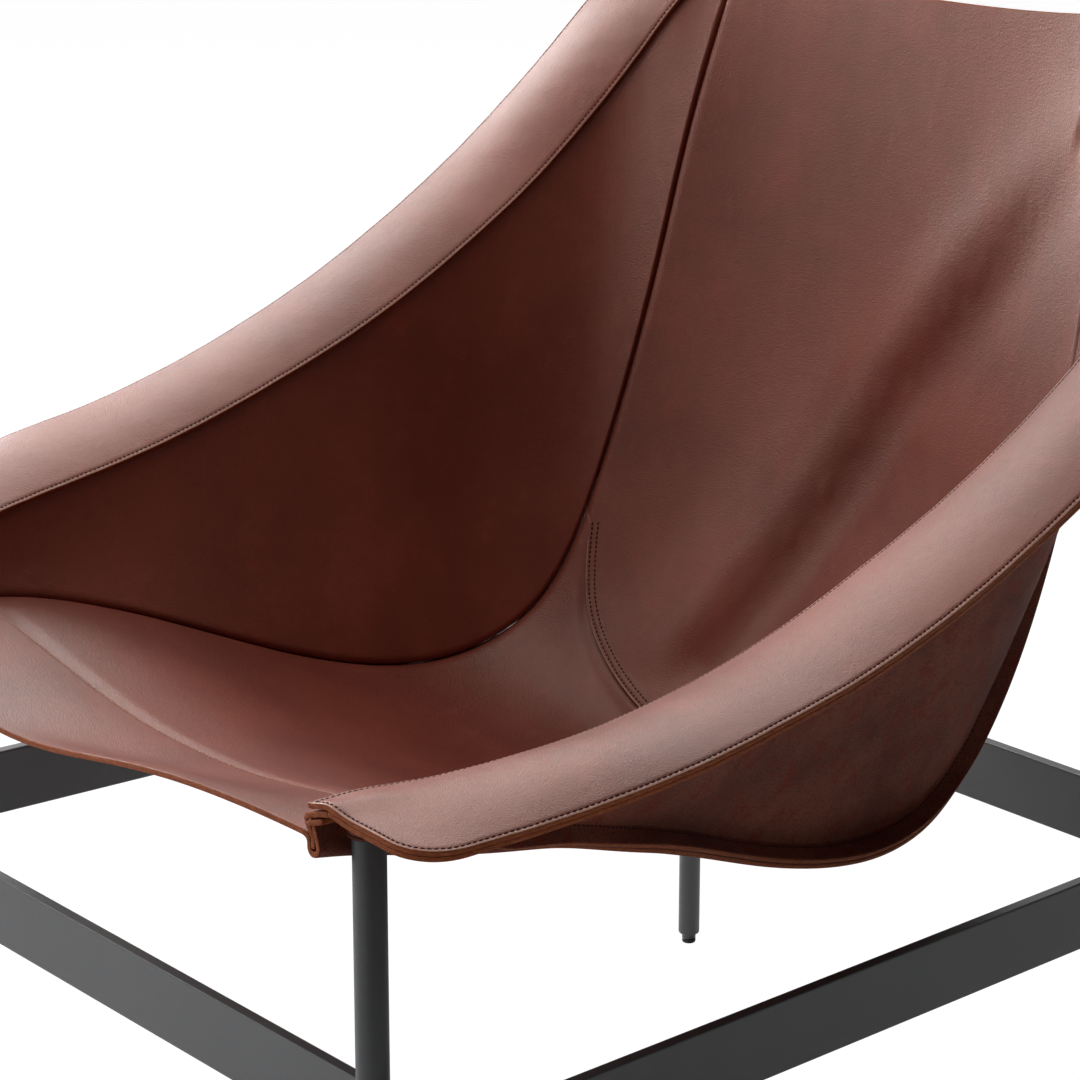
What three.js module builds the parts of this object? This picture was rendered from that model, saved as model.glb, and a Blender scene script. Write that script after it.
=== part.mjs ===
// Leather sling lounge chair. A ring of flat steel bars holds two short front legs and two
// tall rear posts, and a sling sewn from thick saddle leather hangs from their four tops.
// Units are millimetres, +Z is up, the chair faces -Y, and the origin is on the floor
// under the middle of the chair. Left and right are the sitter's: left is +X.
import * as THREE from 'three';

// Driving dimensions of the steel frame
const RING_FRONT_WIDTH = 650;
const RING_REAR_WIDTH = 601;
const RING_DEPTH = 648;
const RING_TOP_HEIGHT = 253;
const BAR_HEIGHT = 44;
const BAR_THICKNESS = 8;
const BAR_EDGE_RADIUS = 1.2;
const LEG_DIAMETER = 18;
const POST_DIAMETER = 16;
const TUBE_WALL = 2;
const TUBE_EDGE = 1.5;
const LEG_INSET = 54;
const POST_INSET = 84.5;

// Driving dimensions of the glides, end caps and pockets on the tubes
const GLIDE_HEIGHT = 3.2;
const GLIDE_EDGE = 1;
const GLIDE_STEM_LENGTH = 10;
const GLIDE_STEM_DIAMETER = 6;
const NECK_DIAMETER = 10.5;
const SHOULDER_HEIGHT = 7.5;
const END_PLATE = 8;
const CAP_SPIGOT_LENGTH = 16;
const POCKET_LEATHER = 2;
const FRONT_POCKET_SKIRT = 9;
const REAR_POCKET_SKIRT = 34;

// Driving dimensions of the sling
const LEATHER = 3.3;
const FRONT_RIM_HEIGHT = 419;
const RIM_RISE = 340;
const SEAT_DROP = 182;
const RIM_FLARE = 44;
const BAND_WIDTH = 100;
const BAND_ARCH = 9;
const BAND_CORNER_RADIUS = 14;
const BAND_OVERHANG = 2.5;
const SEAM_MARGIN = 15;
const LINING_GAP = 1;
const LIP_WIDTH = 13;
const FOLD_RADIUS = 4;
const WALL_BULGE = 7;
const LAP_WIDTH = 14;
const LAP_GAP = 0.5;

// Clearance between faces that touch on the real chair
const GAP = 0.3;

// How fine the round and sewn forms are cut into flats
const TUBE_SIDES = 24;
const DOME_STEPS = 4;
const EDGE_STEPS = 2;
const ROWS_PER_STATION = 2;
const WALL_STEPS = 4;
const BAND_STEPS = 5;
const CROSS_STEPS = 16;

// Places of the legs and posts: each tube is welded to the outer face of its bar
const legX = RING_FRONT_WIDTH / 2 - LEG_INSET;
const legY = -(RING_DEPTH / 2 + GAP + LEG_DIAMETER / 2);
const postX = RING_REAR_WIDTH / 2 - POST_INSET;
const postY = RING_DEPTH / 2 + GAP + POST_DIAMETER / 2;

const steel = new THREE.MeshStandardMaterial({ color: 0x3b3d40, roughness: 0.55, metalness: 0.4 });
const plastic = new THREE.MeshStandardMaterial({ color: 0x1b1c1e, roughness: 0.6, metalness: 0 });
const hide = new THREE.MeshStandardMaterial({ color: 0x7c4336, roughness: 0.45, metalness: 0 });
const lining = new THREE.MeshStandardMaterial({ color: 0x8a573c, roughness: 0.85, metalness: 0 });

const chair = new THREE.Group();

// Turns a geometry inside out when its faces point inwards
function facingOut(geometry) {
  const flat = geometry.index ? geometry.toNonIndexed() : geometry;
  const place = flat.attributes.position;
  const [a, b, c] = [new THREE.Vector3(), new THREE.Vector3(), new THREE.Vector3()];
  let volume = 0;
  for (let i = 0; i < place.count; i += 3) {
    a.fromBufferAttribute(place, i);
    b.fromBufferAttribute(place, i + 1);
    c.fromBufferAttribute(place, i + 2);
    volume += a.dot(b.cross(c));
  }
  if (volume > 0) return flat;
  for (let i = 0; i < place.count; i += 3) {
    b.fromBufferAttribute(place, i + 1);
    c.fromBufferAttribute(place, i + 2);
    place.setXYZ(i + 1, c.x, c.y, c.z);
    place.setXYZ(i + 2, b.x, b.y, b.z);
  }
  return flat;
}

function add(name, geometry, material) {
  const mesh = new THREE.Mesh(facingOut(geometry), material);
  mesh.name = name;
  chair.add(mesh);
  return mesh;
}

// Ring of four flat bars on edge, mitred at the corners of a trapezoid
const sideSlope = (RING_REAR_WIDTH - RING_FRONT_WIDTH) / 2 / RING_DEPTH;
const sideSecant = Math.hypot(1, sideSlope);

function outerX(y) {
  return RING_FRONT_WIDTH / 2 + (y + RING_DEPTH / 2) * sideSlope;
}

function innerX(y) {
  return outerX(y) - BAR_THICKNESS * sideSecant;
}

const frontOut = -RING_DEPTH / 2;
const frontIn = frontOut + BAR_THICKNESS;
const rearOut = RING_DEPTH / 2;
const rearIn = rearOut - BAR_THICKNESS;

function barGeometry(outline) {
  const shape = new THREE.Shape(outline.map(([x, y]) => new THREE.Vector2(x, y)));
  const geometry = new THREE.ExtrudeGeometry(shape, {
    depth: BAR_HEIGHT - 2 * BAR_EDGE_RADIUS,
    bevelEnabled: true,
    bevelThickness: BAR_EDGE_RADIUS,
    bevelSize: BAR_EDGE_RADIUS,
    bevelOffset: -BAR_EDGE_RADIUS,
    bevelSegments: EDGE_STEPS,
    steps: 1,
  });
  geometry.translate(0, 0, RING_TOP_HEIGHT - BAR_HEIGHT + BAR_EDGE_RADIUS);
  return geometry;
}

add('front_bar', barGeometry([
  [-outerX(frontOut) + GAP / 2, frontOut],
  [outerX(frontOut) - GAP / 2, frontOut],
  [innerX(frontIn) - GAP / 2, frontIn],
  [-innerX(frontIn) + GAP / 2, frontIn],
]), steel);
add('rear_bar', barGeometry([
  [-innerX(rearIn) + GAP / 2, rearIn],
  [innerX(rearIn) - GAP / 2, rearIn],
  [outerX(rearOut) - GAP / 2, rearOut],
  [-outerX(rearOut) + GAP / 2, rearOut],
]), steel);
for (const [side, sign] of [['left', 1], ['right', -1]]) {
  add(`${side}_bar`, barGeometry([
    [sign * outerX(frontOut), frontOut + GAP / 2],
    [sign * outerX(rearOut), rearOut - GAP / 2],
    [sign * innerX(rearIn), rearIn - GAP / 2],
    [sign * innerX(frontIn), frontIn + GAP / 2],
  ]), steel);
}

// The sling's three rails run from the front corner to the top corner over numbered
// stations. Each row gives shares of the span from leg to post, of the rim's rise, of the
// seat's drop below the front rim and of the rim's flare outside the line of the tubes.
const rimShares = [
  [-0.036, 0, 0, -0.080],
  [0.011, 0.003, 0, 0.020],
  [0.077, 0.003, 0, 0.347],
  [0.179, 0.030, 0, 0.906],
  [0.276, 0.059, 0, 1.107],
  [0.384, 0.104, 0, 1.207],
  [0.505, 0.181, 0, 1.273],
  [0.630, 0.279, 0, 1.343],
  [0.737, 0.391, 0, 1.411],
  [0.834, 0.516, 0, 1.425],
  [0.903, 0.654, 0, 1.217],
  [0.940, 0.765, 0, 0.885],
  [0.970, 0.888, 0, 0.340],
  [1.018, 1.000, 0, 0.100],
];
const seamShares = [
  [-0.034, 0, 0.121, -0.080],
  [0.013, 0, 0.143, 0.025],
  [0.100, 0, 0.182, 0.364],
  [0.197, 0, 0.245, 0.506],
  [0.293, 0, 0.361, 0.409],
  [0.379, 0, 0.489, 0.132],
  [0.482, 0, 0.644, -0.055],
  [0.590, 0, 0.749, -0.131],
  [0.691, 0, 0.738, -0.141],
  [0.775, 0, 0.540, -0.225],
  [0.840, 0, 0.109, -0.165],
  [0.902, 0.295, 0, -0.176],
  [0.959, 0.635, 0, -0.220],
  [1.015, 0.979, 0, -0.300],
];
const keelShares = [
  [-0.018, 0, 0.280],
  [0.023, 0, 0.291],
  [0.094, 0, 0.335],
  [0.193, 0, 0.462],
  [0.286, 0, 0.604],
  [0.373, 0, 0.731],
  [0.478, 0, 0.874],
  [0.583, 0, 0.967],
  [0.663, 0, 1.000],
  [0.726, 0, 0.989],
  [0.839, 0, 0.709],
  [0.940, 0.032, 0],
  [0.994, 0.488, 0],
  [1.027, 0.947, 0],
];
// Width of the rim band and height of its outer edge over its inner edge, as shares of
// BAND_WIDTH, at the same stations
const bandShares = [
  [0.880, -0.060],
  [0.880, -0.050],
  [0.902, 0.006],
  [0.910, 0.062],
  [0.934, 0.105],
  [0.920, 0.087],
  [0.913, 0.071],
  [0.898, 0.090],
  [0.906, 0.085],
  [0.931, 0.069],
  [0.935, 0.034],
  [0.956, -0.021],
  [1.020, -0.080],
  [0.940, -0.030],
];
const lastStation = rimShares.length - 1;
const frontSeamStation = 2;
const lumbarSeamStation = 9.4;

// The rim's ends clear the pocket, the side panel and the band's overhang on each tube
const neckWidth = GAP + POCKET_LEATHER + GAP + LEATHER + GAP + BAND_OVERHANG;
const frontCornerX = legX - LEG_DIAMETER / 2 - neckWidth;
const rearCornerX = postX - POST_DIAMETER / 2 - neckWidth;

function railPoint([spanShare, riseShare, dropShare, flareShare]) {
  return new THREE.Vector3(
    THREE.MathUtils.lerp(frontCornerX, rearCornerX, spanShare) + RIM_FLARE * flareShare,
    THREE.MathUtils.lerp(legY, postY, spanShare),
    FRONT_RIM_HEIGHT + RIM_RISE * riseShare - SEAT_DROP * dropShare,
  );
}

function rail(points) {
  return new THREE.CatmullRomCurve3(points, false, 'catmullrom');
}

const rimRail = rail(rimShares.map(railPoint));
const seamRail = rail(seamShares.map(railPoint));
const keelRail = rail(keelShares.map(([span, rise, drop]) => {
  const point = railPoint([span, rise, drop, 0]);
  point.x = 0;
  return point;
}));
const edgeRail = rail(rimShares.map((row, i) => {
  const [widthShare, liftShare] = bandShares[i];
  const reach = new THREE.Vector3(BAND_WIDTH * widthShare, 0, BAND_WIDTH * liftShare);
  return railPoint(row).add(reach);
}));

function on(curve, station) {
  return curve.getPoint(THREE.MathUtils.clamp(station / lastStation, 0, 1));
}

function along(curve, station) {
  const step = 0.05;
  const ahead = on(curve, Math.min(station + step, lastStation));
  return ahead.sub(on(curve, Math.max(station - step, 0))).normalize();
}

// Builds a sheet of leather from a grid of points on one face. The solid lies between two
// depths below that face, and side 1 or -1 says on which side of the grid it lies.
function sheetGeometry(grid, nearDepth, farDepth, side) {
  const rows = grid.length;
  const cols = grid[0].length;
  const bend = new THREE.Vector3();
  function tangent(before, here, after) {
    bend.set(0, 0, 0);
    if (after) bend.add(after.clone().sub(here).normalize());
    if (before) bend.add(here.clone().sub(before).normalize());
    const stretch = before && after ? 2 / bend.length() : 1;
    return [bend.clone().normalize(), stretch];
  }
  const skins = [[], []];
  for (let i = 0; i < rows; i += 1) {
    for (let j = 0; j < cols; j += 1) {
      const here = grid[i][j];
      const [run] = tangent(grid[i - 1]?.[j], here, grid[i + 1]?.[j]);
      const [cross, stretch] = tangent(grid[i][j - 1], here, grid[i][j + 1]);
      const normal = run.cross(cross).normalize().multiplyScalar(side * stretch);
      const shift = here.sink ?? 0;
      skins[0].push(here.clone().addScaledVector(normal, nearDepth + shift));
      skins[1].push(here.clone().addScaledVector(normal, farDepth + shift));
    }
  }
  const corners = [];
  function quad(a, b, c, d) {
    corners.push(a, b, c, a, c, d);
  }
  const at = (skin, i, j) => skins[skin][i * cols + j];
  for (let i = 0; i < rows - 1; i += 1) {
    for (let j = 0; j < cols - 1; j += 1) {
      const ring = [[i, j], [i, j + 1], [i + 1, j + 1], [i + 1, j]];
      const [p, q, r, s] = ring.map(([row, col]) => grid[row][col]);
      if (q.distanceTo(s) < p.distanceTo(r)) ring.push(ring.shift());
      quad(...ring.map(([row, col]) => at(0, row, col)));
      quad(...ring.map(([row, col]) => at(1, row, col)).reverse());
    }
  }
  for (let i = 0; i < rows - 1; i += 1) {
    quad(at(0, i, 0), at(0, i + 1, 0), at(1, i + 1, 0), at(1, i, 0));
    quad(at(0, i, cols - 1), at(1, i, cols - 1), at(1, i + 1, cols - 1), at(0, i + 1, cols - 1));
  }
  for (let j = 0; j < cols - 1; j += 1) {
    quad(at(0, 0, j), at(1, 0, j), at(1, 0, j + 1), at(0, 0, j + 1));
    quad(at(0, rows - 1, j), at(0, rows - 1, j + 1), at(1, rows - 1, j + 1), at(1, rows - 1, j));
  }
  return new THREE.BufferGeometry().setFromPoints(corners);
}

function mirrored(geometry) {
  return geometry.clone().scale(-1, 1, 1);
}

function addPair(name, geometry, material) {
  add(`${name}_left`, geometry, material);
  add(`${name}_right`, mirrored(geometry), material);
}

// The seat panel laps under its neighbours at both cross seams, half a lap to each side, and
// comes back level with them over a longer run
function halfLap(station) {
  const half = 0.5;
  const pace = on(keelRail, station + half).distanceTo(on(keelRail, station - half));
  return LAP_WIDTH / 2 / pace;
}

const frontLap = halfLap(frontSeamStation);
const lumbarLap = halfLap(lumbarSeamStation);
const sinkRun = 3;

// Every sheet has its rows at the same stations, so that the seams close evenly
const cornerRowShares = [0.08, 0.2];
const exactRows = [
  0,
  ...cornerRowShares,
  frontSeamStation - frontLap,
  frontSeamStation + frontLap,
  frontSeamStation + sinkRun * frontLap,
  lumbarSeamStation - sinkRun * lumbarLap,
  lumbarSeamStation - lumbarLap,
  lumbarSeamStation + lumbarLap,
  ...cornerRowShares.map((share) => lastStation - share),
  lastStation,
];
const closestRows = 0.3 / ROWS_PER_STATION;
const evenRows = Array.from({ length: lastStation * ROWS_PER_STATION }, (_, i) => i / ROWS_PER_STATION);
const freeRows = evenRows.filter((row) => exactRows.every((e) => Math.abs(e - row) > closestRows));
const slingRows = [...exactRows, ...freeRows].sort((a, b) => a - b);

// Rim band: one strip along each side, arched across its width, with rounded outer corners.
// It lies flat where it is sewn to the side panel, and its lining starts beside that margin.
const sewnWidth = SEAM_MARGIN + LINING_GAP;

function bandPoint(station, share) {
  const inner = on(rimRail, station);
  const outer = on(edgeRail, station);
  const across = outer.clone().sub(inner);
  const up = across.clone().cross(along(rimRail, station)).normalize();
  const sewn = bandShareAt(station, sewnWidth);
  const archShare = share < sewn ? (share * (1 - sewn)) : share * (1 - share);
  const arch = BAND_ARCH * 4 * archShare * endFade(station);
  return inner.lerp(outer, share).addScaledVector(up, arch);
}

// The arch flattens towards both ends, where the band lies over the tube
function endFade(station) {
  const flatEndShare = 0.25;
  const fromEnd = Math.min(station, lastStation - station);
  return THREE.MathUtils.lerp(flatEndShare, 1, THREE.MathUtils.smoothstep(fromEnd, 0, 3));
}

function bandShareAt(station, distance) {
  return distance / on(edgeRail, station).distanceTo(on(rimRail, station));
}

// Point at a depth under the band's top face
function underBand(station, share, depth) {
  const step = 0.02;
  const here = bandPoint(station, share);
  const across = bandPoint(station, share + step).sub(bandPoint(station, share - step));
  const down = along(rimRail, station).cross(across).normalize();
  return here.addScaledVector(down, depth);
}

// How far a round corner cuts the outer edge back, at a distance from the band's end
function cornerCut(distance) {
  if (distance >= BAND_CORNER_RADIUS) return 0;
  const rest = BAND_CORNER_RADIUS - distance;
  return BAND_CORNER_RADIUS - Math.sqrt(BAND_CORNER_RADIUS ** 2 - rest ** 2);
}

function widestShare(station) {
  const nearEnd = station < lastStation / 2 ? 0 : lastStation;
  const distance = on(edgeRail, station).distanceTo(on(edgeRail, nearEnd));
  return 1 - bandShareAt(station, cornerCut(distance));
}

function bandGrid(fromEdge) {
  return slingRows.map((station) => {
    const first = bandShareAt(station, sewnWidth);
    const last = widestShare(station);
    const row = Array.from({ length: BAND_STEPS + 1 }, (_, j) => {
      return bandPoint(station, THREE.MathUtils.lerp(first, last, j / BAND_STEPS));
    });
    return fromEdge ? [bandPoint(station, 0), ...row] : row;
  });
}

const liningTop = LEATHER + LAP_GAP;
const liningBottom = liningTop + LEATHER;
addPair('rim_band', sheetGeometry(bandGrid(true), 0, LEATHER, 1), hide);
addPair('band_lining', sheetGeometry(
  bandGrid(false),
  liningTop,
  liningBottom,
  1,
), lining);

// Centre sheet: across each station it sags from the side seams to the keel. Near the
// front edge the hide is stiff, so there it stays high by the legs and dips in the middle.
function crossPoint(station, share) {
  const sagPower = 2.4;
  const edgePower = 1.2;
  const frontLeanShare = 0.25;
  const seam = on(seamRail, station);
  const keel = on(keelRail, station);
  const stiffness = 1 - THREE.MathUtils.smoothstep(station, 1, 6);
  const lean = frontLeanShare * (1 - THREE.MathUtils.smoothstep(station, 0, frontSeamStation));
  const shifted = Math.min(1, Math.abs(share + lean * (1 - share * share)));
  const slack = shifted ** sagPower;
  const saddle = Math.sin((shifted * Math.PI) / 2) ** (2 * edgePower);
  const lift = THREE.MathUtils.lerp(slack, saddle, stiffness);
  return new THREE.Vector3(
    seam.x * share,
    THREE.MathUtils.lerp(keel.y, seam.y, lift),
    THREE.MathUtils.lerp(keel.z, seam.z, lift),
  );
}

// The side panel's face starts under the band's edge and falls to the side seam
const marginDepth = liningTop + GAP / 2;

function wallTop(station) {
  const share = bandShareAt(station, BAND_OVERHANG);
  return underBand(station, share, marginDepth + FOLD_RADIUS / 2);
}

// Direction in which both seam allowances stand out from the sling. By the front leg they
// hang straight down, and everywhere else they follow the corner between the two sheets.
function lipDirection(station) {
  const seam = on(seamRail, station);
  const run = along(seamRail, station);
  const inwardShare = 0.94;
  const sheetOut = seam.clone().sub(crossPoint(station, inwardShare)).normalize();
  const wallDown = seam.clone().sub(wallTop(station)).normalize();
  const underSheet = run.clone().cross(sheetOut).normalize();
  const outsideWall = wallDown.clone().cross(run).normalize();
  const corner = underSheet.add(outsideWall).normalize();
  const down = new THREE.Vector3(0, 0, -1);
  return down.lerp(corner, THREE.MathUtils.smoothstep(station, 1, 3)).normalize();
}

// Point on the side panel's inner face, at a share of its height and a depth behind it
function wallPoint(station, share, depth) {
  const top = wallTop(station);
  const fall = on(seamRail, station).sub(top);
  const drop = fall.length() - FOLD_RADIUS;
  fall.normalize();
  const outward = fall.clone().cross(along(seamRail, station)).normalize();
  const fromEnd = Math.min(station, lastStation - station);
  const bulge = WALL_BULGE * THREE.MathUtils.smoothstep(fromEnd, 1, 5) * Math.sin(Math.PI * share);
  return top.addScaledVector(fall, drop * share).addScaledVector(outward, bulge + depth);
}

// Side panel: its top margin lies under the band, and its bottom margin is one half of the lip
const wallGrid = slingRows.map((station) => {
  const seam = on(seamRail, station);
  const lip = lipDirection(station);
  const bend = BAND_OVERHANG + FOLD_RADIUS / 2;
  const row = [SEAM_MARGIN, bend].map((distance) => {
    return underBand(station, bandShareAt(station, distance), marginDepth);
  });
  for (let k = 0; k <= WALL_STEPS; k += 1) row.push(wallPoint(station, k / WALL_STEPS, 0));
  row.push(seam.clone().addScaledVector(lip, FOLD_RADIUS));
  row.push(seam.clone().addScaledVector(lip, LIP_WIDTH));
  return row;
});
addPair('side_panel', sheetGeometry(wallGrid, GAP / 2, LEATHER + GAP / 2, -1), hide);

// Front, seat and back panels share one sheet, lapped and sewn at two cross seams, where the
// seat panel sinks under its neighbours by its own thickness
function sink(station) {
  const past = Math.min(
    (station - frontSeamStation) / frontLap,
    (lumbarSeamStation - station) / lumbarLap,
  );
  return (LEATHER + LAP_GAP) * (1 - THREE.MathUtils.smoothstep(past, 1, sinkRun));
}

function sheetRow(station, depth) {
  const seam = on(seamRail, station);
  const lip = lipDirection(station);
  const foldShare = FOLD_RADIUS / seam.distanceTo(on(keelRail, station));
  const allowance = [LIP_WIDTH, FOLD_RADIUS].map((reach) => seam.clone().addScaledVector(lip, reach));
  const widest = 1 - foldShare;
  const inner = Array.from({ length: CROSS_STEPS + 1 }, (_, j) => {
    return crossPoint(station, THREE.MathUtils.lerp(widest, -widest, j / CROSS_STEPS));
  });
  const flip = new THREE.Vector3(-1, 1, 1);
  const farSide = allowance.map((point) => point.clone().multiply(flip)).reverse();
  const row = [...allowance, ...inner, ...farSide];
  for (const point of row) point.sink = depth;
  return row;
}

function addPanel(name, from, to, sinks) {
  const rows = slingRows.filter((row) => row >= from && row <= to);
  const grid = rows.map((station) => sheetRow(station, sinks ? sink(station) : 0));
  add(name, sheetGeometry(grid, GAP / 2, LEATHER + GAP / 2, -1), hide);
}

addPanel('front_panel', 0, frontSeamStation + frontLap, false);
addPanel('seat_panel', frontSeamStation - frontLap, lumbarSeamStation + lumbarLap, true);
addPanel('back_panel', lumbarSeamStation - lumbarLap, lastStation, false);

// A solid turned about the Z axis from a profile of radius and height
function turned(profile) {
  const points = profile.map(([radius, height]) => new THREE.Vector2(radius, height));
  return new THREE.LatheGeometry(points, TUBE_SIDES).rotateX(Math.PI / 2);
}

function arc(radius, from, to) {
  return Array.from({ length: DOME_STEPS + 1 }, (_, i) => {
    const angle = THREE.MathUtils.lerp(from, to, i / DOME_STEPS);
    const across = angle === Math.PI / 2 ? 0 : radius * Math.cos(angle);
    return [across, radius * Math.sin(angle)];
  });
}

// Highest centre for a round pocket top that still clears the band above the tube and the
// side panel beside it
function domeCentre(x, y, radius, fromStation, toStation) {
  const samples = 48;
  const reach = radius + GAP;
  let height = Infinity;
  for (let i = 0; i <= samples; i += 1) {
    const station = THREE.MathUtils.lerp(fromStation, toStation, i / samples);
    for (let j = 0; j <= samples; j += 1) {
      const share = j / samples;
      const above = underBand(station, share / 2, liningBottom + GAP);
      for (const point of [above, wallPoint(station, share, LEATHER + 2 * GAP)]) {
        const aside = Math.hypot(point.x - x, point.y - y);
        if (aside < reach) height = Math.min(height, point.z - Math.sqrt(reach ** 2 - aside ** 2));
      }
    }
  }
  return height;
}

// Legs and posts: tubes with a closed, turned-down foot that stand on plastic glides, and
// end in a round cap inside a leather pocket
function addUpright(name, x, y, diameter, skirt, fromStation, toStation) {
  const outer = diameter / 2;
  const bore = outer - TUBE_WALL;
  const pocketBore = outer + GAP;
  const pocketOuter = pocketBore + POCKET_LEATHER;
  const foot = GLIDE_HEIGHT + GAP;
  const stemBore = GLIDE_STEM_DIAMETER / 2;
  const plateTop = SHOULDER_HEIGHT + END_PLATE;
  const centre = domeCentre(x, y, pocketOuter, fromStation, toStation);
  const tubeTop = centre - GAP;
  const tube = turned([
    [stemBore, foot],
    [NECK_DIAMETER / 2, foot],
    [NECK_DIAMETER / 2, SHOULDER_HEIGHT],
    [outer - TUBE_EDGE, SHOULDER_HEIGHT],
    [outer, SHOULDER_HEIGHT + TUBE_EDGE],
    [outer, tubeTop],
    [bore, tubeTop],
    [bore, plateTop],
    [stemBore, plateTop],
    [stemBore, foot],
  ]);
  const cap = turned([
    [0, -CAP_SPIGOT_LENGTH],
    [bore - GAP, -CAP_SPIGOT_LENGTH],
    [bore - GAP, 0],
    ...arc(outer, 0, Math.PI / 2),
  ]);
  const pocket = turned([
    ...arc(pocketBore, Math.PI / 2, 0),
    [pocketBore, -skirt],
    [pocketOuter, -skirt],
    ...arc(pocketOuter, 0, Math.PI / 2),
  ]);
  const glide = turned([
    [0, GLIDE_HEIGHT + GLIDE_STEM_LENGTH],
    [stemBore - GAP, GLIDE_HEIGHT + GLIDE_STEM_LENGTH],
    [stemBore - GAP, GLIDE_HEIGHT],
    [NECK_DIAMETER / 2, GLIDE_HEIGHT],
    [NECK_DIAMETER / 2, GLIDE_EDGE],
    [NECK_DIAMETER / 2 - GLIDE_EDGE, 0],
    [0, 0],
  ]);
  for (const [side, sign] of [['left', 1], ['right', -1]]) {
    add(`${name}_${side}`, tube.clone(), steel).position.set(sign * x, y, 0);
    add(`${name}_cap_${side}`, cap.clone(), plastic).position.set(sign * x, y, centre);
    add(`${name}_pocket_${side}`, pocket.clone(), hide).position.set(sign * x, y, centre);
    add(`${name}_glide_${side}`, glide.clone(), plastic).position.set(sign * x, y, 0);
  }
}

const cornerStations = 2;
addUpright('front_leg', legX, legY, LEG_DIAMETER, FRONT_POCKET_SKIRT, 0, cornerStations);
addUpright('rear_post', postX, postY, POST_DIAMETER, REAR_POCKET_SKIRT,
  lastStation - cornerStations, lastStation);

// Puts the origin on the floor under the middle of the whole chair
const extent = new THREE.Box3().setFromObject(chair);
const middle = extent.getCenter(new THREE.Vector3());
chair.position.set(-middle.x, -middle.y, -extent.min.z);

export default chair;
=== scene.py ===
import math

import bpy
import numpy as np
from mathutils.bvhtree import BVHTree
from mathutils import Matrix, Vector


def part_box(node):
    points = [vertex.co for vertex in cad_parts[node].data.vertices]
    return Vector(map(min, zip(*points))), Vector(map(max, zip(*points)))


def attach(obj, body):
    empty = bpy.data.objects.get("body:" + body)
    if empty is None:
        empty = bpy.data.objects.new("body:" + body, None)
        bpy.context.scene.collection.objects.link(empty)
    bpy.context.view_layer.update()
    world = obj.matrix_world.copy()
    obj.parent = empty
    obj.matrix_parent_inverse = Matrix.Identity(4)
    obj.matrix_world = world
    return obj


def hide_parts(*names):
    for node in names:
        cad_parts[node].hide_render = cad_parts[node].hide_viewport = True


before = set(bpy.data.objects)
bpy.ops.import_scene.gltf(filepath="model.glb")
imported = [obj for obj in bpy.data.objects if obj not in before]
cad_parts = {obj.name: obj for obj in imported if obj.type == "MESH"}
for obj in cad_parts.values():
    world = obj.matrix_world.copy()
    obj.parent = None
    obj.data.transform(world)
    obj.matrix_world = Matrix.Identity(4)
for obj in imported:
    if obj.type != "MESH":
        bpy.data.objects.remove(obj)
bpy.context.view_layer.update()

# Camera: it stands off the front left corner, a metre above the floor, and looks down over
# the near arm into the seat. It is placed from the ring's front bar.
ring_front_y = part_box("front_bar")[0].y
lens = bpy.data.cameras.new("camera")
lens.sensor_width = 36
lens.lens = 113.0
camera = bpy.data.objects.new("camera", lens)
camera.location = (1.56468, ring_front_y - 0.97049, 1.03334)
camera.rotation_euler = (math.radians(90 - 16.466), 0, math.radians(50.3))
bpy.context.scene.collection.objects.link(camera)
bpy.context.scene.camera = camera


# Steel ring: four flat bars on edge, mitred at the corners and powder coated in a dark
# satin grey. The coat has a faint orange peel and is a little duller in patches.
class Link:
    """A socket in a tree of nodes. Sums and products of values are plain expressions."""

    def __init__(self, tree, socket=None):
        self.tree = tree
        self.socket = socket

    def node(self, kind, settings, sockets, out=0):
        made = self.tree.nodes.new(kind)
        for key, value in settings.items():
            setattr(made, key, value)
        for key, value in sockets.items():
            if isinstance(value, Link):
                self.tree.links.new(value.socket, made.inputs[key])
            else:
                made.inputs[key].default_value = value
        return Link(self.tree, made.outputs[out]) if made.outputs else None

    def maths(self, operation, *values):
        return self.node("ShaderNodeMath", {"operation": operation}, dict(enumerate(values)))

    def __add__(self, other):
        return self.maths("ADD", self, other)

    def __mul__(self, other):
        return self.maths("MULTIPLY", self, other)

    __radd__ = __add__
    __rmul__ = __mul__

    def ramp(self, low, high):
        """0 below low and 1 above high, with a soft step between them."""
        settings = {"interpolation_type": "SMOOTHSTEP"}
        sockets = {"Value": self, "From Min": low, "From Max": high}
        return self.node("ShaderNodeMapRange", settings, sockets)

    def blend(self, first, second):
        """The first colour where this is 0, the second where it is 1."""
        sockets = {0: self, 6: first, 7: second}
        return self.node("ShaderNodeMix", {"data_type": "RGBA"}, sockets, 2)

    def noise(self, where, scale, detail=3.0, roughness=0.55):
        sockets = {"Vector": where, "Scale": scale, "Detail": detail, "Roughness": roughness}
        return self.node("ShaderNodeTexNoise", {}, sockets)

    def stretched(self, where, scale):
        sockets = {0: where, 1: scale}
        return self.node("ShaderNodeVectorMath", {"operation": "MULTIPLY"}, sockets)

    def bumps(self, height, distance, normal=None):
        sockets = {"Height": height, "Distance": distance, "Strength": 1.0}
        if normal:
            sockets["Normal"] = normal
        return self.node("ShaderNodeBump", {}, sockets)


def new_finish(name):
    """A material with an empty tree, a link to its own nodes and its Object coordinates."""
    material = bpy.data.materials.new(name)
    material.use_nodes = True
    material.node_tree.nodes.clear()
    here = Link(material.node_tree)
    return material, here, here.node("ShaderNodeTexCoord", {}, {}, "Object")


def close_finish(here, sockets):
    shader = here.node("ShaderNodeBsdfPrincipled", {}, sockets)
    here.node("ShaderNodeOutputMaterial", {}, {"Surface": shader})


def srgb(red, green, blue):
    """The linear colour of a screen colour given from 0 to 255."""
    shares = [value / 255 for value in (red, green, blue)]
    return tuple(s / 12.92 if s <= 0.04045 else ((s + 0.055) / 1.055) ** 2.4 for s in shares)


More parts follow.
